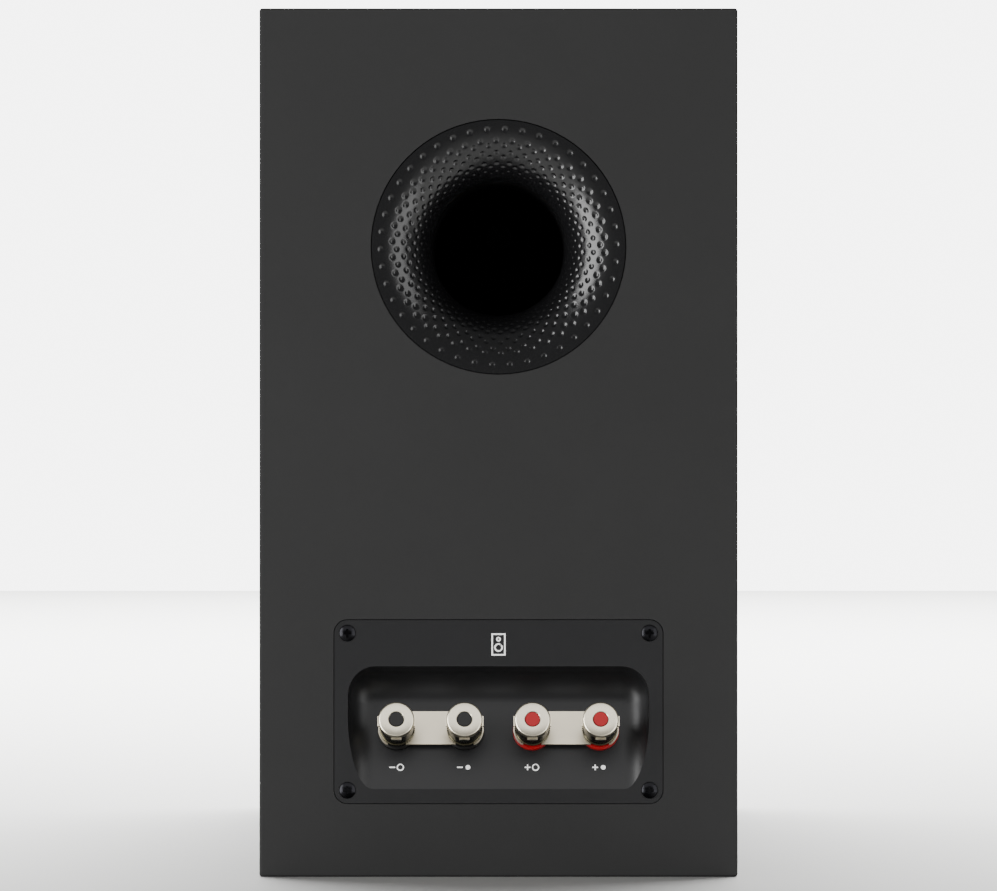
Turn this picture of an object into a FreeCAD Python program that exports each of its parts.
"""A two-way bookshelf speaker with a rear port, two pairs of terminals and a magnetic grille.

Millimetres. +Z is up, the drivers face -Y, and the origin is the middle of the cabinet's bottom face.
"""
import FreeCAD, Part
import math
import os
import re

import Sketcher

# Driving dimensions, each written once. They become the cells of the sheet "dims".
SIZES = {
    # cabinet
    "cabinet_width": 190.0, "cabinet_height": 345.0, "cabinet_depth": 300.0,
    "side_wall": 15.0, "back_wall": 18.0, "baffle_wall": 20.0, "edge_round": 1.2, "face_round": 1.0,
    "brace_height": 188.0, "brace_wall": 12.0, "brace_length": 195.0, "brace_rim": 25.0,
    "brace_corner": 18.0, "foam_thickness": 12.0, "foam_length": 175.0, "foam_start": 60.0,
    # clearances between pieces that fit together
    "seat_gap": 0.3, "fit_gap": 0.1, "thread_gap": 0.2,
    # port
    "port_height": 250.2, "port_radius": 26.5, "flare_radius": 24.0, "flare_wall": 2.5,
    "flange_wall": 4.0, "socket_length": 12.0, "port_tube_wall": 2.5, "port_tube_length": 70.0,
    "inner_flare_radius": 14.0,
    # terminal tray, with a recess whose floor slants
    "tray_width": 130.4, "tray_height": 72.8, "tray_middle": 65.6, "tray_corner": 5.3,
    "tray_flange": 3.0, "tray_wall": 2.5, "gasket_wall": 1.0, "floor_tilt": 20.0,
    "recess_foot": 34.9, "recess_length": 45.8, "recess_width": 119.7,
    "recess_corner": 11.0, "recess_floor_round": 10.0, "cutout_corner": 16.0,
    "tray_screw_inset": 5.2, "screw_head": 3.1, "screw_head_height": 2.0, "screw_seat": 1.0,
    "screw_shank": 1.7, "tray_screw_length": 14.0,
    # terminals, measured from the floor of the recess
    "post_spacing": 26.9, "post_distance": 23.5, "post_radius": 2.85, "post_bore": 2.05,
    "post_bore_depth": 10.0, "post_top": 12.5, "post_tail": 14.0,
    "collar_radius": 7.7, "collar_height": 2.5, "link_wall": 1.0, "link_gap": 3.6, "link_round": 7.5,
    "link_prong": 6.1, "washer_radius": 6.7, "washer_wall": 0.8,
    "cap_radius": 7.1, "cap_top": 19.0, "cap_bevel": 0.7, "cap_foot": 1.0, "cap_waist": 0.4,
    "cap_rim": 3.0, "plug_head": 2.0, "plug_sink": 0.4, "peg_radius": 1.8, "peg_length": 7.0,
    "nut_radius": 4.6, "nut_height": 3.0, "tag_length": 8.0, "tag_wall": 0.6,
    # crossover
    "board_width": 150.0, "board_height": 84.0, "board_wall": 1.6, "standoff_length": 18.4,
    "standoff_radius": 3.5, "standoff_inset": 6.0,
    "coil_radius": 16.0, "coil_bore": 6.5, "coil_height": 14.0,
    "capacitor_radius": 8.0, "capacitor_length": 32.0,
    "resistor_length": 48.0, "resistor_width": 10.0, "resistor_height": 9.0, "part_gap": 0.4,
    # woofer, its depths measured inwards from the front of the baffle
    "woofer_height": 115.0, "woofer_radius": 83.0, "woofer_flange": 4.0, "lip_radius": 74.5,
    "ledge_depth": 2.5, "basket_throat": 70.0, "basket_wall": 2.6, "spider_depth": 38.0,
    "spider_ledge": 51.0, "basket_shoulder": 58.0, "basket_depth": 54.0, "basket_floor": 3.5,
    "basket_hole": 26.0, "basket_windows": 6, "window_width": 32.0,
    "surround_inner": 55.0, "roll_inner": 58.0, "roll_radius": 5.0, "rubber_wall": 0.8,
    "cone_radius": 57.0, "cone_neck": 16.0, "cone_depth": 30.0, "cone_wall": 0.9, "cone_bow": 150.0,
    "dust_radius": 18.0, "dust_height": 13.0, "dust_wall": 0.8,
    "former_radius": 15.8, "former_wall": 0.4, "former_end": 60.0, "winding_wall": 0.6,
    "winding_length": 12.0, "spider_outer": 56.0, "spider_wave": 1.6, "spider_wall": 0.6,
    "gap_wall": 0.8, "plate_radius": 45.0, "plate_wall": 6.0, "magnet_radius": 48.0,
    "magnet_bore": 24.0, "magnet_wall": 18.0, "vent_radius": 5.0,
    "woofer_screws": 8, "woofer_screw_length": 16.0,
    # tweeter, measured the same way
    "tweeter_height": 265.0, "tweeter_radius": 52.0, "dome_radius": 12.5, "dome_height": 4.0,
    "dome_base": 3.2, "dome_wall": 0.4, "waveguide_radius": 22.0, "waveguide_depth": 2.6,
    "guard_radius": 22.5, "guard_height": 4.4, "guard_wall": 0.5, "tweeter_coil_length": 5.0,
    "motor_radius": 24.0, "motor_depth": 34.0, "motor_groove": 10.0, "tube_radius": 12.0,
    "tube_length": 46.0, "tube_end": 6.0, "tweeter_screws": 4,
    # grille
    "grille_inset": 2.0, "grille_depth": 12.5, "cloth_wall": 0.7, "grille_corner": 4.0,
    "frame_bar": 16.0, "crossbar_height": 205.5, "crossbar": 10.0,
    "magnet_disc": 5.0, "magnet_disc_wall": 3.0, "magnet_inset": 11.0, "magnet_cover": 2.0,
    # wiring
    "wire_radius": 1.2,
}

# Places that several pieces share, as expressions of the sizes.
BACK = "cabinet_depth / 2"
FRONT = "-cabinet_depth / 2"
HALF_WIDTH = "cabinet_width / 2"
INNER_HALF_WIDTH = "(cabinet_width / 2 - side_wall)"
TRAY_LOW = "(tray_middle - tray_height / 2)"
TRAY_HIGH = "(tray_middle + tray_height / 2)"
DUST_RIM = "(cone_depth - 2)"
REBATE = "(woofer_flange + gasket_wall)"
LINK_UNDER = "(collar_height + fit_gap)"
WASHER_UNDER = "(collar_height + link_wall + 2 * fit_gap)"
CAP_UNDER = "(collar_height + link_wall + washer_wall + 3 * fit_gap)"
POST_PLACES = ["1.5 * post_spacing", "0.5 * post_spacing", "-0.5 * post_spacing", "-1.5 * post_spacing"]
BOARD_FACE = "(cabinet_depth / 2 - back_wall - standoff_length - board_wall)"
WOOFER_SCREW_RING = "(lip_radius + woofer_radius) / 2"
TWEETER_SCREW_RING = "(tweeter_radius - 5)"
GRILLE_HALF_WIDTH = "(cabinet_width / 2 - grille_inset)"

DOC = FreeCAD.newDocument("bookshelf_speaker")


# ---------------------------------------------------------------- drawing helpers

def make_sheet():
    """The sheet of driving dimensions, one aliased cell each."""
    sheet = DOC.addObject("Spreadsheet::Sheet", "dims")
    for row, (alias, value) in enumerate(SIZES.items(), start=1):
        sheet.set(f"A{row}", alias)
        sheet.set(f"B{row}", str(value))
        sheet.setAlias(f"B{row}", alias)
    DOC.recompute()
    return sheet


SHEET = make_sheet()


def linked(text):
    """An expression with each size's name pointed at its cell."""
    return re.sub(r"[a-z_]+", lambda word: "dims." + word[0] if word[0] in SIZES else word[0], text)


def value_of(text):
    """What an expression comes to with the sizes as they are."""
    result = SHEET.evalExpression(linked(text))
    return float(getattr(result, "Value", result))


def bind(thing, prop, text):
    """Bind one property to an expression of the sizes."""
    thing.setExpression(prop, linked(text))


def new_body(label):
    """A body whose label names its node."""
    body = DOC.addObject("PartDesign::Body", label)
    body.Label = label
    return body


def origin_part(body, role):
    """One plane or axis of a body's own origin."""
    return next(feature for feature in body.Origin.OriginFeatures if feature.Role == role)


def new_sketch(body, plane, offset="0"):
    """A sketch on an origin plane of the body, moved along the plane's normal."""
    sketch = body.newObject("Sketcher::SketchObject", body.Name + "_outline")
    sketch.AttachmentSupport = (origin_part(body, plane), [""])
    sketch.MapMode = "FlatFace"
    bind(sketch, "AttachmentOffset.Base.z", offset)
    return sketch


def fix_point(sketch, geometry, point, place):
    """Tie one point of a sketch to its two expressions."""
    for direction, axis, text in (("DistanceX", -2, place[0]), ("DistanceY", -1, place[1])):
        if abs(value_of(text)) < 1e-9:
            sketch.addConstraint(Sketcher.Constraint("PointOnObject", geometry, point, axis))
            continue
        constraint = Sketcher.Constraint(direction, -1, 1, geometry, point, value_of(text))
        bind(sketch, f"Constraints[{sketch.addConstraint(constraint)}]", text)


def arc_between(start, end, radius, turn):
    """The smaller arc from start to end, turning "left" or "right"."""
    chord = end - start
    side = FreeCAD.Vector(-chord.y, chord.x, 0).normalize() * (1 if turn == "left" else -1)
    rise = math.sqrt(max(radius ** 2 - (chord.Length / 2) ** 2, 0.0))
    centre = (start + end) * 0.5 + side * rise
    first, last = (start, end) if turn == "left" else (end, start)
    angles = [math.atan2(point.y - centre.y, point.x - centre.x) for point in (first, last)]
    if angles[1] < angles[0]:
        angles[1] += 2 * math.pi
    return Part.ArcOfCircle(Part.Circle(centre, FreeCAD.Vector(0, 0, 1), radius), *angles)


def draw(sketch, corners):
    """A closed outline. A corner (x, y, turn, radius) starts an arc, any other a straight line."""
    base = sketch.GeometryCount
    points = [FreeCAD.Vector(value_of(corner[0]), value_of(corner[1]), 0) for corner in corners]
    ends = []
    for index, corner in enumerate(corners):
        start, end = points[index], points[(index + 1) % len(points)]
        if len(corner) == 2:
            sketch.addGeometry(Part.LineSegment(start, end), False)
            ends.append((1, 2))
        else:
            sketch.addGeometry(arc_between(start, end, value_of(corner[3]), corner[2]), False)
            ends.append((1, 2) if corner[2] == "left" else (2, 1))
    for index, corner in enumerate(corners):
        after = (index + 1) % len(corners)
        sketch.addConstraint(Sketcher.Constraint(
            "Coincident", base + index, ends[index][1], base + after, ends[after][0]))
        fix_point(sketch, base + index, ends[index][0], corner)
        if len(corner) > 2:
            constraint = Sketcher.Constraint("Radius", base + index, value_of(corner[3]))
            bind(sketch, f"Constraints[{sketch.addConstraint(constraint)}]", corner[3])


def circle(sketch, across, up, radius):
    """A circle tied to its centre and radius."""
    centre = FreeCAD.Vector(value_of(across), value_of(up), 0)
    shape = Part.Circle(centre, FreeCAD.Vector(0, 0, 1), value_of(radius))
    index = sketch.addGeometry(shape, False)
    fix_point(sketch, index, 3, (across, up))
    constraint = Sketcher.Constraint("Radius", index, value_of(radius))
    bind(sketch, f"Constraints[{sketch.addConstraint(constraint)}]", radius)


def rectangle(left, right, low, high, corner=None, low_corner=None):
    """The corners of an upright rectangle, with round corners if a radius is given."""
    if corner is None:
        return [(left, low), (right, low), (right, high), (left, high)]
    low_corner = low_corner or corner
    return [
        (f"{left} + {low_corner}", low), (f"{right} - {low_corner}", low, "left", low_corner),
        (right, f"{low} + {low_corner}"), (right, f"{high} - {corner}", "left", corner),
        (f"{right} - {corner}", high), (f"{left} + {corner}", high, "left", corner),
        (left, f"{high} - {corner}"), (left, f"{low} + {low_corner}", "left", low_corner),
    ]


def pad(body, plane, offset, length, *outlines):
    """Pad outlines and circles from a plane, along its normal."""
    sketch = new_sketch(body, plane, offset)
    draw_all(sketch, outlines)
    feature = body.newObject("PartDesign::Pad", body.Name + "_pad")
    feature.Profile = sketch
    bind(feature, "Length", length)
    sketch.Visibility = False
    return feature


def pocket(body, plane, offset, depth, *outlines):
    """Cut outlines and circles from a plane, against its normal, and make sure that it cuts."""
    DOC.recompute()
    before = body.Shape.Volume
    sketch = new_sketch(body, plane, offset)
    draw_all(sketch, outlines)
    feature = body.newObject("PartDesign::Pocket", body.Name + "_pocket")
    feature.Profile = sketch
    bind(feature, "Length", depth)
    DOC.recompute()
    if body.Shape.Volume >= before:
        raise RuntimeError(f"{feature.Name} cuts nothing")
    return feature


def draw_all(sketch, outlines):
    """Draw each outline, or each circle given as three expressions."""
    for outline in outlines:
        if isinstance(outline, tuple):
            circle(sketch, *outline)
        else:
            draw(sketch, outline)


def revolve(body, plane, corners):
    """Turn an outline round the plane's upright axis."""
    sketch = new_sketch(body, plane)
    draw(sketch, corners)
    feature = body.newObject("PartDesign::Revolution", body.Name + "_turned")
    feature.Profile = sketch
    feature.ReferenceAxis = (sketch, ["V_Axis"])
    feature.Angle = 360
    return feature


def round_edges(body, radius, wanted):
    """Fillet the edges whose middle point passes a test."""
    DOC.recompute()
    tip = body.Tip
    names = [f"Edge{number}" for number, edge in enumerate(tip.Shape.Edges, start=1) if wanted(edge)]
    feature = body.newObject("PartDesign::Fillet", body.Name + "_round")
    feature.Base = (tip, names)
    bind(feature, "Radius", radius)
    return feature


def ring_of(body, features, axis, count):
    """Repeat features evenly round an axis of the body."""
    pattern = body.newObject("PartDesign::PolarPattern", body.Name + "_ring")
    pattern.Originals = features
    pattern.Axis = (origin_part(body, axis), [""])
    pattern.Angle = 360
    bind(pattern, "Occurrences", count)
    body.Tip = pattern
    return pattern


def row_of(body, features, length, count):
    """Repeat features evenly along X."""
    pattern = body.newObject("PartDesign::LinearPattern", body.Name + "_row")
    pattern.Originals = features
    pattern.Direction = (origin_part(body, "X_Axis"), [""])
    bind(pattern, "Length", length)
    bind(pattern, "Occurrences", count)
    body.Tip = pattern
    return pattern


def place(piece, across="0", along="0", up="0"):
    """Put a piece at a place given by expressions."""
    bind(piece, "Placement.Base.x", across)
    bind(piece, "Placement.Base.y", along)
    bind(piece, "Placement.Base.z", up)


def stand_on_floor(piece, across="0", distance="post_distance"):
    """Stand a piece on the slanted floor: its Z is square to the floor and its Y runs down it."""
    square = FreeCAD.Rotation(FreeCAD.Vector(-1, 0, 0), value_of("90 - floor_tilt"))
    piece.Placement = FreeCAD.Placement(FreeCAD.Vector(), square)
    bind(piece, "Placement.Rotation.Angle", "90 - floor_tilt")
    place(piece, across, f"{BACK} - {distance} * sin(floor_tilt)",
          f"recess_foot + {distance} * cos(floor_tilt)")


def face_inwards_from_back(piece, up):
    """Put a piece on the back's outer face, with its Y running into the cabinet."""
    piece.Placement = FreeCAD.Placement(FreeCAD.Vector(), FreeCAD.Rotation(FreeCAD.Vector(0, 0, 1), 180))
    place(piece, "0", BACK, up)


def block(label, left, right, near, far, low, high):
    """One body with a rectangular pad between two places along each axis."""
    body = new_body(label)
    pad(body, "XZ_Plane", f"-({far})", f"({far}) - ({near})", rectangle(left, right, low, high))
    return body


# ---------------------------------------------------------------- cabinet

def cabinet_side(label, sign):
    """A side panel between the baffle and the back, its two outer edges eased."""
    turn = "right" if sign else "left"
    outer, inner = f"{sign}{HALF_WIDTH}", f"{sign}{INNER_HALF_WIDTH}"
    eased = f"{sign}({HALF_WIDTH} - edge_round)"
    body = new_body(label)
    pad(body, "XZ_Plane", f"back_wall - {BACK}", "cabinet_depth - back_wall - baffle_wall", [
        (inner, "0"), (eased, "0", turn, "edge_round"), (outer, "edge_round"),
        (outer, "cabinet_height - edge_round", turn, "edge_round"), (eased, "cabinet_height"),
        (inner, "cabinet_height")])
    return body


def cabinet_level(label, low, high):
    """The top or the bottom panel, between the sides."""
    return block(label, f"-{INNER_HALF_WIDTH}", INNER_HALF_WIDTH, f"{FRONT} + baffle_wall",
                 f"{BACK} - back_wall", low, high)


def outer_panel(label, near, far, outer_face):
    """A full-size panel across the end of the cabinet, with an eased rim."""
    body = new_body(label)
    outline = rectangle(f"-{HALF_WIDTH}", HALF_WIDTH, "0", "cabinet_height", "edge_round")
    pad(body, "XZ_Plane", f"-({far})", f"({far}) - ({near})", outline)
    face = value_of(outer_face)
    round_edges(body, "face_round", lambda edge: abs(edge.BoundBox.YMin - face) < 1e-6
                and abs(edge.BoundBox.YMax - face) < 1e-6)
    return body


def cut_from_back(body, depth, *outlines):
    """Cut into the back panel from its outer face."""
    return pocket(body, "XZ_Plane", f"{depth} - {BACK}", depth, *outlines)


def tray_screw_places():
    """The middles of the tray's four screws."""
    across = "(tray_width / 2 - tray_screw_inset)"
    rows = (f"{TRAY_LOW} + tray_screw_inset", f"{TRAY_HIGH} - tray_screw_inset")
    return [(f"{sign}{across}", row) for sign in ("-", "") for row in rows]


def tray_cutout():
    """The opening behind the tray, clear of its tub and of its screws."""
    half = "(recess_width / 2 + tray_wall + 3 * seat_gap)"
    reach = "(recess_length + tray_wall) / cos(floor_tilt)"
    high = f"(recess_foot + {reach} - (tray_flange + gasket_wall) * tan(floor_tilt) + 4 * seat_gap)"
    return rectangle(f"-{half}", half, "recess_foot", high, "recess_corner", "cutout_corner")


def cabinet_back():
    """The back panel, with seats for the port and the terminal tray."""
    body = outer_panel("cabinet_back", f"{BACK} - back_wall", BACK, BACK)
    throat = "sqrt((flare_radius - flare_wall)^2 - (flare_radius - flange_wall)^2)"
    cut_from_back(body, "back_wall",
                  ("0", "port_height", f"port_radius + flare_radius - {throat} + seat_gap"))
    cut_from_back(body, "flange_wall", ("0", "port_height", "port_radius + flare_radius + seat_gap"))
    half = "(tray_width / 2 + seat_gap)"
    cut_from_back(body, "(tray_flange + gasket_wall)", rectangle(
        f"-{half}", half, f"({TRAY_LOW} - seat_gap)", f"({TRAY_HIGH} + seat_gap)",
        "(tray_corner + seat_gap)"))
    cut_from_back(body, "back_wall", tray_cutout())
    cut_from_back(body, "tray_screw_length",
                  *[(across, up, "screw_shank") for across, up in tray_screw_places()])
    return body


def magnet_places():
    """The middles of the four magnets behind the baffle, and of those in the grille."""
    across = f"({GRILLE_HALF_WIDTH} - magnet_inset)"
    rows = ("grille_inset + magnet_inset", "cabinet_height - grille_inset - magnet_inset")
    return [(f"{sign}{across}", row) for sign in ("-", "") for row in rows]


def front_baffle():
    """The front panel, with stepped holes for both drivers and blind pockets for the magnets."""
    body = outer_panel("front_baffle", FRONT, f"{FRONT} + baffle_wall", FRONT)
    for height, radius, depth, hole in (
            ("woofer_height", "woofer_radius", REBATE, "basket_throat + basket_wall + 3 * seat_gap"),
            ("tweeter_height", "tweeter_radius", "woofer_flange", "motor_radius + 10 * seat_gap")):
        pocket(body, "XZ_Plane", f"-({FRONT})", depth, ("0", height, f"{radius} + seat_gap"))
        pocket(body, "XZ_Plane", f"-({FRONT})", "baffle_wall", ("0", height, hole))
    pocket(body, "XZ_Plane", f"-({FRONT} + magnet_cover)", "baffle_wall",
           *[(across, up, "magnet_disc + fit_gap") for across, up in magnet_places()])
    for count, ring, height in (("woofer_screws", WOOFER_SCREW_RING, "woofer_height"),
                                ("tweeter_screws", TWEETER_SCREW_RING, "tweeter_height")):
        pocket(body, "XZ_Plane", f"-({FRONT})", "woofer_screw_length + gasket_wall",
               *[(f"{ring} * sin({angle})", f"{height} + {ring} * cos({angle})", "screw_shank")
                 for angle in screw_angles(count)])
    return body


def screw_angles(count):
    """The angles of a ring of screws, the first half a pitch from the top."""
    number = int(SIZES[count])
    return [360 * (index + 0.5) / number for index in range(number)]


def cabinet_brace():
    """A window brace across the cabinet, between the woofer and the port."""
    body = new_body("cabinet_brace")
    near = f"({FRONT} + baffle_wall)"
    pad(body, "XY_Plane", "brace_height", "brace_wall",
        rectangle(f"-{INNER_HALF_WIDTH}", INNER_HALF_WIDTH, near, f"({near} + brace_length)"),
        rectangle(f"-({INNER_HALF_WIDTH} - brace_rim)", f"({INNER_HALF_WIDTH} - brace_rim)",
                  f"({near} + brace_rim)", f"({near} + brace_length - brace_rim)", "brace_corner"))
    return body


def damping_foam():
    """Foam pads on the sides, the top and the bottom, clear of the brace."""
    body = new_body("damping_foam")
    near, length = f"({FRONT} + foam_start)", "foam_length"
    inner, foam = INNER_HALF_WIDTH, "foam_thickness"
    pads = []
    for low, high in (("side_wall + foam_thickness + 3", "brace_height - 2"),
                      ("brace_height + brace_wall + 2", "cabinet_height - side_wall - foam_thickness - 3")):
        pads.append(rectangle(f"-{inner}", f"-{inner} + {foam}", low, high))
        pads.append(rectangle(f"{inner} - {foam}", inner, low, high))
    for low in ("side_wall", "cabinet_height - side_wall - foam_thickness"):
        pads.append(rectangle(f"-{inner}", inner, low, f"{low} + {foam}"))
    pad(body, "XZ_Plane", f"-({near} + {length})", length, *pads)
    return body


# ---------------------------------------------------------------- port, its Y running inwards

def port_flare_outer():
    """The flare at the back: a rounded trumpet with a flange and a socket for the tube."""
    body = new_body("port_flare_outer")
    rim = "(port_radius + flare_radius)"
    skin = "(flare_radius - flare_wall)"
    tube = "(port_radius + port_tube_wall + fit_gap)"
    sleeve = f"({tube} + flare_wall)"
    revolve(body, "XY_Plane", [
        (rim, "0", "right", "flare_radius"), ("port_radius", "flare_radius"), (tube, "flare_radius"),
        (tube, "flare_radius + socket_length"), (sleeve, "flare_radius + socket_length"),
        (sleeve, f"flare_radius - sqrt({skin}^2 - ({rim} - {sleeve})^2)", "left", skin),
        (f"{rim} - sqrt({skin}^2 - (flare_radius - flange_wall)^2)", "flange_wall"),
        (rim, "flange_wall")])
    face_inwards_from_back(body, "port_height")
    return body


def port_tube():
    """The straight tube of the port."""
    body = new_body("port_tube")
    wall = "port_radius + port_tube_wall"
    end = "flare_radius + port_tube_length"
    revolve(body, "XY_Plane", [("port_radius", "flare_radius"), (wall, "flare_radius"), (wall, end),
                               ("port_radius", end)])
    face_inwards_from_back(body, "port_height")
    return body


def port_flare_inner():
    """The flare at the inner end of the port."""
    body = new_body("port_flare_inner")
    start = "(flare_radius + port_tube_length)"
    end = f"({start} + inner_flare_radius)"
    rim = "(port_radius + inner_flare_radius)"
    tube = "(port_radius + port_tube_wall + fit_gap)"
    sleeve = f"({tube} + flare_wall)"
    skin = "(inner_flare_radius - flare_wall)"
    revolve(body, "XY_Plane", [
        ("port_radius", start, "right", "inner_flare_radius"), (rim, end),
        (rim, f"{end} - flare_wall", "left", skin),
        (sleeve, f"{start} + sqrt({skin}^2 - ({rim} - {sleeve})^2)"),
        (sleeve, f"{start} - socket_length"), (tube, f"{start} - socket_length"), (tube, start)])
    face_inwards_from_back(body, "port_height")
    return body


# ---------------------------------------------------------------- terminal tray

def boolean(kind, label, *pieces):
    """Join, cut or intersect pieces; the first is the base."""
    feature = DOC.addObject("Part::" + kind, label)
    if kind == "MultiFuse":
        feature.Shapes = list(pieces)
    else:
        feature.Base, feature.Tool = pieces
    feature.Label = label
    return feature


def recess_block(label, margin, under, beyond, corner, floor_round):
    """A slanted block on the recess floor, round at its two inner corners and along its floor."""
    body = new_body(label)
    half = f"(recess_width / 2 + {margin})"
    inner = f"-(recess_length + {margin})"
    pad(body, "XY_Plane", under, "recess_length", [
        (f"-{half}", f"{inner} + {corner}", "left", corner), (f"-{half} + {corner}", inner),
        (f"{half} - {corner}", inner, "left", corner), (half, f"{inner} + {corner}"),
        (half, beyond), (f"-{half}", beyond)])
    low = value_of(under)
    round_edges(body, floor_round, lambda edge: abs(edge.BoundBox.ZMax - low) < 1e-6
                and edge.CenterOfMass.y < value_of(beyond) - 1e-6)
    stand_on_floor(body, distance="0")
    return body


def terminal_tray():
    """A moulded tray: a flange flush with the back and a tub round the slanted recess."""
    plate = new_body("tray_plate")
    half = "tray_width / 2"
    pad(plate, "XZ_Plane", f"-({BACK})", "tray_flange",
        rectangle(f"-{half}", half, TRAY_LOW, TRAY_HIGH, "tray_corner"))
    tub = recess_block("tray_tub", "tray_wall", "-tray_wall", "tray_wall",
                       "(recess_corner + tray_wall)", "recess_floor_round + tray_wall")
    behind = DOC.addObject("Part::Box", "behind_face")
    bind(behind, "Length", "cabinet_width")
    bind(behind, "Width", "cabinet_depth / 4")
    bind(behind, "Height", "cabinet_height / 2")
    place(behind, f"-{HALF_WIDTH}", f"{BACK} - tray_flange / 2 - cabinet_depth / 4", "0")
    hollow = recess_block("tray_recess", "0", "0", "recess_length", "recess_corner", "recess_floor_round")
    holes = new_body("tray_holes")
    pad(holes, "XY_Plane", "-2 * tray_wall", "4 * tray_wall",
        *[(across, "0", "post_radius + fit_gap") for across in POST_PLACES])
    stand_on_floor(holes)
    seats = new_body("tray_screw_seats")
    places = tray_screw_places()
    pad(seats, "XZ_Plane", f"-({BACK} + tray_flange)", "3 * tray_flange",
        *[(across, up, "screw_shank + fit_gap") for across, up in places])
    heads = new_body("tray_head_seats")
    pad(heads, "XZ_Plane", f"-({BACK} + tray_flange)", "tray_flange + screw_seat",
        *[(across, up, "screw_head + seat_gap") for across, up in places])
    solid = boolean("MultiFuse", "tray_solid", plate, boolean("Common", "tray_tub_inside", tub, behind))
    hollows = boolean("MultiFuse", "tray_hollows", hollow, holes, seats, heads)
    return boolean("Cut", "terminal_tray", solid, hollows)


def terminal_gasket():
    """A foam ring between the tray's flange and its seat."""
    body = new_body("terminal_gasket")
    half = "(tray_width / 2)"
    pad(body, "XZ_Plane", f"tray_flange - {BACK}", "gasket_wall",
        rectangle(f"-{half}", half, TRAY_LOW, TRAY_HIGH, "tray_corner"), tray_cutout(),
        *[(across, up, "screw_shank + fit_gap") for across, up in tray_screw_places()])
    return body


def cross_corners(arm, slot):
    """A cross recess, drawn round from the right arm."""
    return [(arm, f"-{slot}"), (arm, slot), (slot, slot), (slot, arm), (f"-{slot}", arm),
            (f"-{slot}", slot), (f"-{arm}", slot), (f"-{arm}", f"-{slot}"), (f"-{slot}", f"-{slot}"),
            (f"-{slot}", f"-{arm}"), (slot, f"-{arm}"), (slot, f"-{slot}")]


def terminal_screws():
    """Four domed cross-recess screws in the corners of the tray."""
    body = new_body("terminal_screws")
    across = "(tray_width - 2 * tray_screw_inset)"
    crown = "(screw_head_height - screw_seat)"
    tip = "-(tray_screw_length - screw_shank)"
    turned = revolve(body, "XY_Plane", [
        ("0", "-tray_screw_length"), ("screw_shank", tip), ("screw_shank", "-screw_seat"),
        ("screw_head", "-screw_seat"), ("screw_head", "0", "left", "2 * screw_head"), ("0", crown)])
    slot = pocket(body, "XZ_Plane", "0", "2 * screw_head_height",
                  cross_corners("(0.55 * screw_head)", "(0.15 * screw_head)"))
    row = row_of(body, [turned, slot], across, "2")
    row.Direction2 = (origin_part(body, "Z_Axis"), [""])
    bind(row, "Length2", "tray_height - 2 * tray_screw_inset")
    row.Occurrences2 = 2
    place(body, f"-{across} / 2", BACK, f"{TRAY_LOW} + tray_screw_inset")
    return body


# ---------------------------------------------------------------- terminals, on the slanted floor

def binding_posts():
    """Four threaded posts through the floor, bored for a plug."""
    body = new_body("binding_posts")
    post = revolve(body, "XZ_Plane", [
        ("0", "-post_tail"), ("post_radius", "-post_tail"), ("post_radius", "post_top"),
        ("post_bore", "post_top"), ("post_bore", "post_top - post_bore_depth"),
        ("0", "post_top - post_bore_depth")])
    row_of(body, [post], "3 * post_spacing", "4")
    stand_on_floor(body, POST_PLACES[3])
    return body


def terminal_collars(label, first):
    """Two coloured insulating collars round the feet of one pair of posts."""
    body = new_body(label)
    hole = "post_radius + fit_gap"
    ring = revolve(body, "XZ_Plane", [
        (hole, "0"), ("collar_radius", "0"), ("collar_radius", "collar_height - 2 * seat_gap"),
        ("collar_radius - 2 * seat_gap", "collar_height"), (hole, "collar_height")])
    row_of(body, [ring], "post_spacing", "2")
    stand_on_floor(body, first)
    return body


def terminal_nuts():
    """A solder tag and a hexagonal nut on the tail of each post."""
    body = new_body("terminal_nuts")
    half = "(0.85 * nut_radius)"
    under = "(tray_wall + tag_wall)"
    end = "(nut_radius + tag_length)"
    tag = pad(body, "XY_Plane", f"-{under}", "tag_wall",
              [(f"-{half}", "-nut_radius"), (half, "-nut_radius"), (half, end), (f"-{half}", end)],
              ("0", "0", "post_radius + fit_gap"))
    hexagon = [(f"nut_radius * cos({60 * corner})", f"nut_radius * sin({60 * corner})")
               for corner in range(6)]
    nut = pad(body, "XY_Plane", f"-({under} + fit_gap + nut_height)", "nut_height", hexagon,
              ("0", "0", "post_radius + fit_gap"))
    row_of(body, [tag, nut], "3 * post_spacing", "4")
    stand_on_floor(body, POST_PLACES[3])
    return body


def terminal_cap(number, across):
    """A threaded cap: foot, waisted grip and bevelled rim, open in the middle for the plug."""
    body = new_body(f"terminal_cap_{number}")
    hole, foot = "post_radius + thread_gap", f"({CAP_UNDER} + cap_foot)"
    waist = "(cap_radius - cap_waist)"
    revolve(body, "XZ_Plane", [
        (hole, CAP_UNDER), ("cap_radius", CAP_UNDER), ("cap_radius", foot), (waist, foot),
        (waist, "cap_top - cap_rim"), ("cap_radius", "cap_top - cap_rim"),
        ("cap_radius", "cap_top - cap_bevel"), ("cap_radius - cap_bevel", "cap_top"), (hole, "cap_top")])
    stand_on_floor(body, across)
    return body


def terminal_washer(number, across):
    """The loose clamp washer under a cap."""
    body = new_body(f"terminal_washer_{number}")
    hole = "post_radius + thread_gap"
    top = f"{WASHER_UNDER} + washer_wall"
    revolve(body, "XZ_Plane", [(hole, WASHER_UNDER), ("washer_radius", WASHER_UNDER),
                               ("washer_radius", top), (hole, top)])
    stand_on_floor(body, across)
    return body


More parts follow.
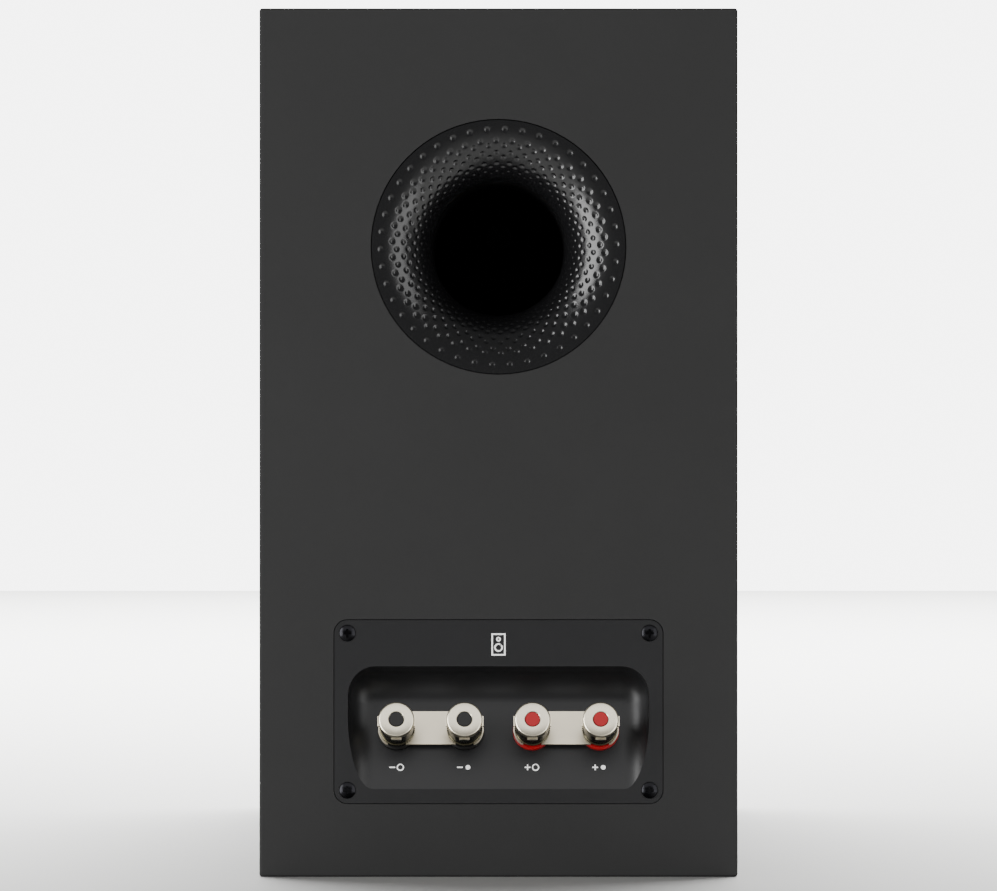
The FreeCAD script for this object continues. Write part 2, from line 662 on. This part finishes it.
def terminal_plug(number, across):
    """The safety plug in a cap, its peg in the post's bore."""
    body = new_body(f"terminal_plug_{number}")
    top = "(cap_top - plug_sink)"
    seat = f"({top} - plug_head)"
    revolve(body, "XZ_Plane", [
        ("0", f"{seat} - peg_length"), ("peg_radius", f"{seat} - peg_length"), ("peg_radius", seat),
        ("post_radius", seat), ("post_radius", top), ("0", top)])
    stand_on_floor(body, across)
    return body


def link_plate(label, across):
    """A flat plate with two forks that drop over a pair of posts."""
    body = new_body(label)
    a, low, end = "post_spacing / 2", "link_prong", "sqrt(link_round^2 - link_prong^2)"
    gap, edge = "link_gap", "-link_round"
    pad(body, "XY_Plane", LINK_UNDER, "link_wall", [
        (f"-{a}", edge), (a, edge, "left", "link_round"), (f"{a} + {end}", low), (f"{a} + {gap}", low),
        (f"{a} + {gap}", "0", "right", gap), (a, f"-{gap}", "right", gap), (f"{a} - {gap}", "0"),
        (f"{a} - {gap}", low), (f"-{a} + {gap}", low), (f"-{a} + {gap}", "0", "right", gap),
        (f"-{a}", f"-{gap}", "right", gap), (f"-{a} - {gap}", "0"), (f"-{a} - {gap}", low),
        (f"-{a} - {end}", low, "left", "link_round")])
    stand_on_floor(body, across)
    return body


# ---------------------------------------------------------------- crossover, behind the tray

def board_corners():
    """The middles of the four standoffs."""
    across = "(board_width / 2 - standoff_inset)"
    rows = ("tray_middle - board_height / 2 + standoff_inset",
            "tray_middle + board_height / 2 - standoff_inset")
    return [(f"{sign}{across}", row) for sign in ("-", "") for row in rows]


def crossover_board():
    """The circuit board, parallel to the back."""
    body = new_body("crossover_board")
    half = "board_width / 2"
    pad(body, "XZ_Plane", f"-({BOARD_FACE} + board_wall)", "board_wall",
        rectangle(f"-{half}", half, "tray_middle - board_height / 2", "tray_middle + board_height / 2"))
    return body


def crossover_standoffs():
    """Four standoffs between the board and the back panel."""
    body = new_body("crossover_standoffs")
    pad(body, "XZ_Plane", f"back_wall - {BACK}", "standoff_length",
        *[(across, up, "standoff_radius") for across, up in board_corners()])
    return body


def crossover_coils():
    """Three wound coils that stand on the board."""
    body = new_body("crossover_coils")
    places = [("-board_width / 2 + 1.5 * coil_radius", "tray_middle + 0.75 * coil_radius"),
              ("0", "tray_middle + 0.75 * coil_radius"),
              ("board_width / 2 - 1.5 * coil_radius", "tray_middle - 0.75 * coil_radius")]
    rings = [(across, up, radius) for across, up in places for radius in ("coil_radius", "coil_bore")]
    pad(body, "XZ_Plane", f"-({BOARD_FACE})", "coil_height", *rings)
    return body


def crossover_capacitors():
    """Three capacitors that lie on the board."""
    body = new_body("crossover_capacitors")
    out = f"({BOARD_FACE} - capacitor_radius - part_gap)"
    row = "(tray_middle - board_height / 2 + capacitor_radius + part_gap)"
    first = pad(body, "YZ_Plane", "-board_width / 2 + 2 * standoff_inset", "capacitor_length",
                (out, row, "capacitor_radius"))
    row_of(body, [first], "capacitor_length + 4 * part_gap", "2")
    return body


def crossover_resistors():
    """Two ceramic resistors that lie on the board."""
    body = new_body("crossover_resistors")
    row = "(tray_middle - board_height / 2 + 2 * capacitor_radius + 3 * part_gap)"
    out = f"({BOARD_FACE} - part_gap)"
    start = "-board_width / 2 + part_gap"
    first = pad(body, "YZ_Plane", start, "resistor_length", rectangle(
        f"{out} - resistor_height", out, row, f"{row} + resistor_width"))
    row_of(body, [first], "resistor_length + 2 * part_gap", "2")
    return body


# ---------------------------------------------------------------- woofer, its Y running inwards

def turned(label, height, corners):
    """A piece turned round a driver's axis, its outline as (radius, depth)."""
    body = new_body(label)
    revolve(body, "XY_Plane", corners)
    place(body, "0", FRONT, height)
    return body


def ring(inner, outer, near, far):
    """The outline of a plain ring."""
    return [(inner, near), (outer, near), (outer, far), (inner, far)]


def dome_outline(radius, height, base, wall):
    """A thin dome: its outer and inner faces share a middle."""
    outer = f"(({radius})^2 + ({height})^2) / (2 * {height})"
    inner = f"(({radius} - {wall})^2 + ({height} - {wall})^2) / (2 * ({height} - {wall}))"
    return [("0", f"{base} - {height}", "left", outer), (radius, base), (f"{radius} - {wall}", base,
            "right", inner), ("0", f"{base} - {height} + {wall}")]


def woofer_basket():
    """A cast basket: flange, slanted wall with windows, spider ledge and floor."""
    body = new_body("woofer_basket")
    slope = "basket_throat + basket_wall"
    revolve(body, "XY_Plane", [
        ("lip_radius", "0"), ("woofer_radius", "0"), ("woofer_radius", "woofer_flange"),
        (slope, "woofer_flange"), ("basket_shoulder + basket_wall", "spider_depth"),
        ("basket_shoulder", "basket_depth"), ("basket_hole", "basket_depth"),
        ("basket_hole", "basket_depth - basket_floor"), ("spider_ledge", "basket_depth - basket_floor"),
        ("spider_ledge", "spider_depth"), ("basket_shoulder", "spider_depth"),
        ("basket_throat", "ledge_depth + basket_wall"), ("basket_throat", "ledge_depth"),
        ("lip_radius", "ledge_depth")])
    depth = "(woofer_flange + 2)"
    near, far = "-window_width / 2", "window_width / 2"
    window = pocket(body, "XY_Plane", "woofer_radius", "woofer_radius - spider_ledge + 5",
                    rectangle(near, far, depth, "(spider_depth - 3)", "5"))
    ring_of(body, [window], "Y_Axis", "basket_windows")
    holes = [(f"{WOOFER_SCREW_RING} * sin({angle})", f"{WOOFER_SCREW_RING} * cos({angle})")
             for angle in screw_angles("woofer_screws")]
    pocket(body, "XZ_Plane", "0", "woofer_flange",
           *[(across, up, "screw_shank + fit_gap") for across, up in holes])
    pocket(body, "XZ_Plane", "0", "screw_head_height",
           *[(across, up, "screw_head + fit_gap") for across, up in holes])
    place(body, "0", FRONT, "woofer_height")
    return body


def woofer_gasket():
    """A foam ring between the flange and its seat in the baffle."""
    body = turned("woofer_gasket", "woofer_height",
                  ring("lip_radius", "woofer_radius", "woofer_flange", REBATE))
    pocket(body, "XZ_Plane", "-woofer_flange", "gasket_wall",
           *[(f"{WOOFER_SCREW_RING} * sin({angle})", f"{WOOFER_SCREW_RING} * cos({angle})",
              "screw_shank + fit_gap") for angle in screw_angles("woofer_screws")])
    return body


def woofer_surround():
    """The rubber half-roll between the basket and the cone."""
    front, back = "(ledge_depth - rubber_wall)", "ledge_depth"
    far = "(roll_inner + 2 * roll_radius)"
    middle = "(roll_inner + roll_radius)"
    skin = "(roll_radius - rubber_wall)"
    return turned("woofer_surround", "woofer_height", [
        ("surround_inner", front), ("roll_inner", front, "left", "roll_radius"),
        (middle, f"{front} - roll_radius", "left", "roll_radius"), (far, front),
        ("lip_radius - fit_gap", front), ("lip_radius - fit_gap", back),
        (f"{far} - rubber_wall", back), (f"{far} - rubber_wall", front, "right", skin),
        (middle, f"{front} - {skin}", "right", skin), ("roll_inner + rubber_wall", front),
        ("roll_inner + rubber_wall", back), ("surround_inner", back)])


def woofer_cone():
    """The woven cone, slightly bowed."""
    return turned("woofer_cone", "woofer_height", [
        ("cone_neck", "cone_depth", "left", "cone_bow"), ("cone_radius", "ledge_depth + fit_gap"),
        ("cone_radius", "ledge_depth + 1.2 * cone_wall", "right", "cone_bow"),
        ("cone_neck", "cone_depth + 1.2 * cone_wall")])


def woofer_dust_cap():
    """A domed cap over the voice coil."""
    return turned("woofer_dust_cap", "woofer_height",
                  dome_outline("dust_radius", "dust_height", DUST_RIM, "dust_wall"))


def woofer_voice_coil():
    """The former and its winding."""
    inner = "(former_radius - former_wall)"
    start = "(cone_depth + 1.2 * cone_wall)"
    wound = "(former_radius + winding_wall)"
    return turned("woofer_voice_coil", "woofer_height", [
        (inner, start), ("former_radius", start), ("former_radius", "former_end - winding_length"),
        (wound, "former_end - winding_length"), (wound, "former_end"), (inner, "former_end")])


def woofer_spider():
    """The corrugated disc that centres the voice coil."""
    waves = 6
    inner = "(former_radius + fit_gap)"
    front, back = "(spider_depth - spider_wall)", "spider_depth"
    step = f"(spider_ledge - {inner}) / {2 * waves}"
    near = [(f"{inner} + {index} * {step}", f"{front} - {index % 2} * spider_wave")
            for index in range(2 * waves + 1)]
    far = [(f"{inner} + {index} * {step}", f"{back} - {index % 2} * spider_wave")
           for index in reversed(range(2 * waves + 1))]
    return turned("woofer_spider", "woofer_height",
                  near + [("spider_outer", front), ("spider_outer", back)] + far)


def woofer_top_plate():
    """The steel plate in front of the magnet."""
    return turned("woofer_top_plate", "woofer_height",
                  ring("former_radius + winding_wall + gap_wall", "plate_radius", "basket_depth",
                       "basket_depth + plate_wall"))


def woofer_magnet():
    """The ferrite ring."""
    start = "basket_depth + plate_wall"
    return turned("woofer_magnet", "woofer_height",
                  ring("magnet_bore", "magnet_radius", start, f"{start} + magnet_wall"))


def woofer_back_plate():
    """The back plate and its vented pole."""
    pole = "(former_radius - former_wall - gap_wall)"
    seat = "(basket_depth + plate_wall + magnet_wall)"
    return turned("woofer_back_plate", "woofer_height", [
        ("vent_radius", "basket_depth"), (pole, "basket_depth"), (pole, seat), ("plate_radius", seat),
        ("plate_radius", f"{seat} + plate_wall"), ("vent_radius", f"{seat} + plate_wall")])


def driver_screws(label, height, ring_radius, count):
    """A ring of flat cross-recess screws round a driver."""
    body = new_body(label)
    angle = screw_angles(count)[0]
    across, up = f"{ring_radius} * sin({angle})", f"{ring_radius} * cos({angle})"
    head = pad(body, "XZ_Plane", "-screw_head_height", "screw_head_height", (across, up, "screw_head"))
    shank = pad(body, "XZ_Plane", "-woofer_screw_length", "woofer_screw_length - screw_head_height",
                (across, up, "screw_shank"))
    outline = [(f"{across} + {x}", f"{up} + {z}")
               for x, z in cross_corners("(0.55 * screw_head)", "(0.15 * screw_head)")]
    slot = pocket(body, "XZ_Plane", "-screw_head_height / 2", "screw_head_height", outline)
    ring_of(body, [head, shank, slot], "Y_Axis", count)
    place(body, "0", FRONT, height)
    return body


# ---------------------------------------------------------------- tweeter, its Y running inwards

def tweeter_faceplate():
    """The faceplate, dished round the dome."""
    hole = "(dome_radius + seat_gap)"
    body = new_body("tweeter_faceplate")
    bow = "(2 * waveguide_radius)"
    revolve(body, "XY_Plane", [
        (hole, "waveguide_depth", "left", bow), ("waveguide_radius", "0"), ("tweeter_radius", "0"),
        ("tweeter_radius", "woofer_flange"), (hole, "woofer_flange")])
    holes = [(f"{TWEETER_SCREW_RING} * sin({angle})", f"{TWEETER_SCREW_RING} * cos({angle})")
             for angle in screw_angles("tweeter_screws")]
    pocket(body, "XZ_Plane", "0", "woofer_flange",
           *[(across, up, "screw_shank + fit_gap") for across, up in holes])
    pocket(body, "XZ_Plane", "0", "screw_head_height",
           *[(across, up, "screw_head + fit_gap") for across, up in holes])
    place(body, "0", FRONT, "tweeter_height")
    return body


def tweeter_guard():
    """The domed metal guard in front of the dome."""
    return turned("tweeter_guard", "tweeter_height",
                  dome_outline("guard_radius", "guard_height", "0", "guard_wall"))


def tweeter_dome():
    """The dome itself."""
    return turned("tweeter_dome", "tweeter_height",
                  dome_outline("dome_radius", "dome_height", "dome_base", "dome_wall"))


def tweeter_voice_coil():
    """The coil under the dome's rim."""
    return turned("tweeter_voice_coil", "tweeter_height", ring(
        "dome_radius - dome_wall", "dome_radius", "dome_base", "dome_base + tweeter_coil_length"))


def tweeter_motor():
    """The magnet cup with its coil groove, and the tapered tube behind it."""
    gap = "2 * seat_gap"
    near, end = "woofer_flange", "(woofer_flange + motor_depth)"
    hub = f"(dome_radius - dome_wall - {gap})"
    return turned("tweeter_motor", "tweeter_height", [
        ("0", "woofer_flange + fit_gap"), (hub, "woofer_flange + fit_gap"), (hub, f"{near} + motor_groove"),
        (f"dome_radius + {gap}", f"{near} + motor_groove"), (f"dome_radius + {gap}", near),
        ("motor_radius", near), ("motor_radius", end), ("tube_radius", end),
        ("tube_end", f"{end} + tube_length"), ("0", f"{end} + tube_length")])


# ---------------------------------------------------------------- grille

def grille_frame():
    """The moulded frame: one window, one crossbar, and a blind seat for each magnet."""
    body = new_body("grille_frame")
    side = f"({GRILLE_HALF_WIDTH} - cloth_wall)"
    low, high = "(grille_inset + cloth_wall)", "(cabinet_height - grille_inset - cloth_wall)"
    corner = "(grille_corner - cloth_wall)"
    depth = "(grille_depth - cloth_wall - seat_gap)"
    windows = [rectangle(f"-({side} - frame_bar)", f"({side} - frame_bar)", bottom, top, "grille_corner")
               for bottom, top in ((f"({low} + frame_bar)", "(crossbar_height - crossbar / 2)"),
                                   ("(crossbar_height + crossbar / 2)", f"({high} - frame_bar)"))]
    pad(body, "XZ_Plane", f"seat_gap - ({FRONT})", depth,
        rectangle(f"-{side}", side, low, high, corner), *windows)
    pocket(body, "XZ_Plane", f"seat_gap + magnet_disc_wall - ({FRONT})", "magnet_disc_wall",
           *[(across, up, "magnet_disc") for across, up in magnet_places()])
    return body


def grille_cloth():
    """Cloth stretched over the front of the frame and down its sides."""
    body = new_body("grille_cloth")
    side, low, high = GRILLE_HALF_WIDTH, "grille_inset", "(cabinet_height - grille_inset)"
    pad(body, "XZ_Plane", f"2 * seat_gap - ({FRONT})", "grille_depth - 2 * seat_gap",
        rectangle(f"-{side}", side, low, high, "grille_corner"))
    pocket(body, "XZ_Plane", f"grille_depth - cloth_wall - ({FRONT})", "grille_depth", rectangle(
        f"-({side} - cloth_wall)", f"({side} - cloth_wall)", f"({low} + cloth_wall)",
        f"({high} - cloth_wall)", "(grille_corner - cloth_wall)"))
    return body


def magnet_discs(label, near, wall):
    """Four disc magnets at the corners."""
    body = new_body(label)
    pad(body, "XZ_Plane", f"-({near} + {wall})", wall,
        *[(across, up, "magnet_disc") for across, up in magnet_places()])
    return body


# ---------------------------------------------------------------- wiring

def lead(points, diameter):
    """A round lead along straight runs and tangent arcs."""
    edges, last = [], points[0]
    for before, corner, after in zip(points, points[1:], points[2:]):
        arrive, leave = (before - corner).normalize(), (after - corner).normalize()
        half = arrive.getAngle(leave) / 2
        shorter = min((before - corner).Length, (after - corner).Length)
        reach = 0.45 * shorter
        radius = reach * math.tan(half)
        print(f"lead arc radius {radius:.1f} mm")
        start, end = corner + arrive * reach, corner + leave * reach
        middle = corner + (arrive + leave).normalize() * (radius / math.sin(half) - radius)
        edges += [Part.LineSegment(last, start).toShape(), Part.Arc(start, middle, end).toShape()]
        last = end
    edges.append(Part.LineSegment(last, points[-1]).toShape())
    wire = Part.Wire(edges)
    section = Part.Wire(Part.Circle(points[0], points[1] - points[0], diameter / 2).toShape())
    tube = wire.makePipeShell([section], True, False)
    expected = math.pi * diameter ** 2 / 4 * wire.Length
    if abs(tube.Volume - expected) > 0.02 * expected:
        raise RuntimeError("a lead's volume is wrong")
    return tube


def leads(label, routes):
    """A group of leads in one node."""
    node = DOC.addObject("Part::Feature", label)
    node.Label = label
    solids = [lead([FreeCAD.Vector(*point) for point in route], 2 * value_of("wire_radius"))
              for route in routes]
    node.Shape = Part.makeCompound(solids)
    return node


def woofer_leads():
    """Two leads from the board to the back of the woofer's basket."""
    board, end = value_of(BOARD_FACE), value_of(f"{FRONT} + basket_depth")
    rim = value_of("(plate_radius + basket_shoulder) / 2")
    height = value_of("woofer_height")
    drop = 10
    side = -math.sqrt(rim ** 2 - drop ** 2)
    return leads("woofer_leads", [
        [(60, board, 98), (60, board - 30, 98), (57, 26, 106), (54, -28, 111),
         (rim, end + 26, height), (rim, end, height)],
        [(-60, board, 100), (-60, board - 32, 100), (-58, 28, 110), (-55, -24, 117),
         (side, end + 28, height + drop), (side, end, height + drop)]])


def tweeter_leads():
    """Two leads from the board, up behind the brace, to the back of the tweeter's motor."""
    board = value_of(BOARD_FACE)
    end = value_of(f"{FRONT} + woofer_flange + motor_depth")
    rim = value_of("(motor_radius + tube_radius) / 2")
    height = value_of("tweeter_height")
    return leads("tweeter_leads", [
        [(40, board, 101), (40, board - 26, 101), (46, 76, 140), (51, 74, 190), (53, 66, 236),
         (50, 28, 262), (42, -22, 270), (28, -64, 269), (rim, end + 24, height), (rim, end, height)],
        [(-28, board, 100), (-28, board - 26, 100), (-36, 76, 136), (-44, 73, 184), (-49, 67, 232),
         (-50, 30, 262), (-43, -20, 273), (-29, -62, 272), (-rim, end + 25, height),
         (-rim, end, height)]])


# ---------------------------------------------------------------- the whole speaker

def build_pieces():
    """Every sub-part, in the order that it would be put together."""
    pieces = [
        cabinet_side("cabinet_left_side", "-"), cabinet_side("cabinet_right_side", ""),
        cabinet_level("cabinet_bottom", "0", "side_wall"),
        cabinet_level("cabinet_top", "cabinet_height - side_wall", "cabinet_height"),
        cabinet_back(), front_baffle(), cabinet_brace(), damping_foam(),
        port_flare_outer(), port_tube(), port_flare_inner(),
        terminal_tray(), terminal_gasket(), terminal_screws(), binding_posts(),
        terminal_collars("terminal_collars_black", POST_PLACES[1]),
        terminal_collars("terminal_collars_red", POST_PLACES[3]), terminal_nuts(),
        link_plate("link_plate_negative", "post_spacing"),
        link_plate("link_plate_positive", "-post_spacing"),
    ]
    for number, across in enumerate(POST_PLACES, start=1):
        pieces += [terminal_washer(number, across), terminal_cap(number, across),
                   terminal_plug(number, across)]
    pieces += [
        crossover_board(), crossover_standoffs(), crossover_coils(), crossover_capacitors(),
        crossover_resistors(),
        woofer_basket(), woofer_gasket(), woofer_surround(), woofer_cone(), woofer_dust_cap(),
        woofer_voice_coil(), woofer_spider(), woofer_top_plate(), woofer_magnet(),
        woofer_back_plate(),
        driver_screws("woofer_screws", "woofer_height", WOOFER_SCREW_RING, "woofer_screws"),
        tweeter_faceplate(), tweeter_guard(), tweeter_dome(), tweeter_voice_coil(),
        tweeter_motor(),
        driver_screws("tweeter_screws", "tweeter_height", TWEETER_SCREW_RING, "tweeter_screws"),
        grille_frame(), grille_cloth(),
        magnet_discs("grille_magnets", f"{FRONT} - seat_gap - magnet_disc_wall", "magnet_disc_wall"),
        magnet_discs("baffle_magnets", f"{FRONT} + magnet_cover", "magnet_disc_wall"),
        woofer_leads(), tweeter_leads(),
    ]
    return pieces


def check_pieces(pieces):
    """Stop if any object failed to recompute or any sub-part isn't a sound solid."""
    for thing in DOC.Objects:
        if "Invalid" in thing.State or "Error" in thing.State:
            raise RuntimeError(f"{thing.Name} failed: {thing.State}")
    for piece in pieces:
        if piece.Shape.isNull() or not piece.Shape.isValid() or not piece.Shape.Solids:
            raise RuntimeError(f"{piece.Label} isn't a valid solid")


def export_pieces(pieces):
    """Write each sub-part's shape to its own file."""
    os.makedirs("parts", exist_ok=True)
    for piece in pieces:
        piece.Shape.exportStep(f"parts/{piece.Label}.step")


PIECES = build_pieces()
DOC.recompute()
check_pieces(PIECES)
export_pieces(PIECES)
print(len(PIECES), "nodes,", sum(len(piece.Shape.Solids) for piece in PIECES), "solids")
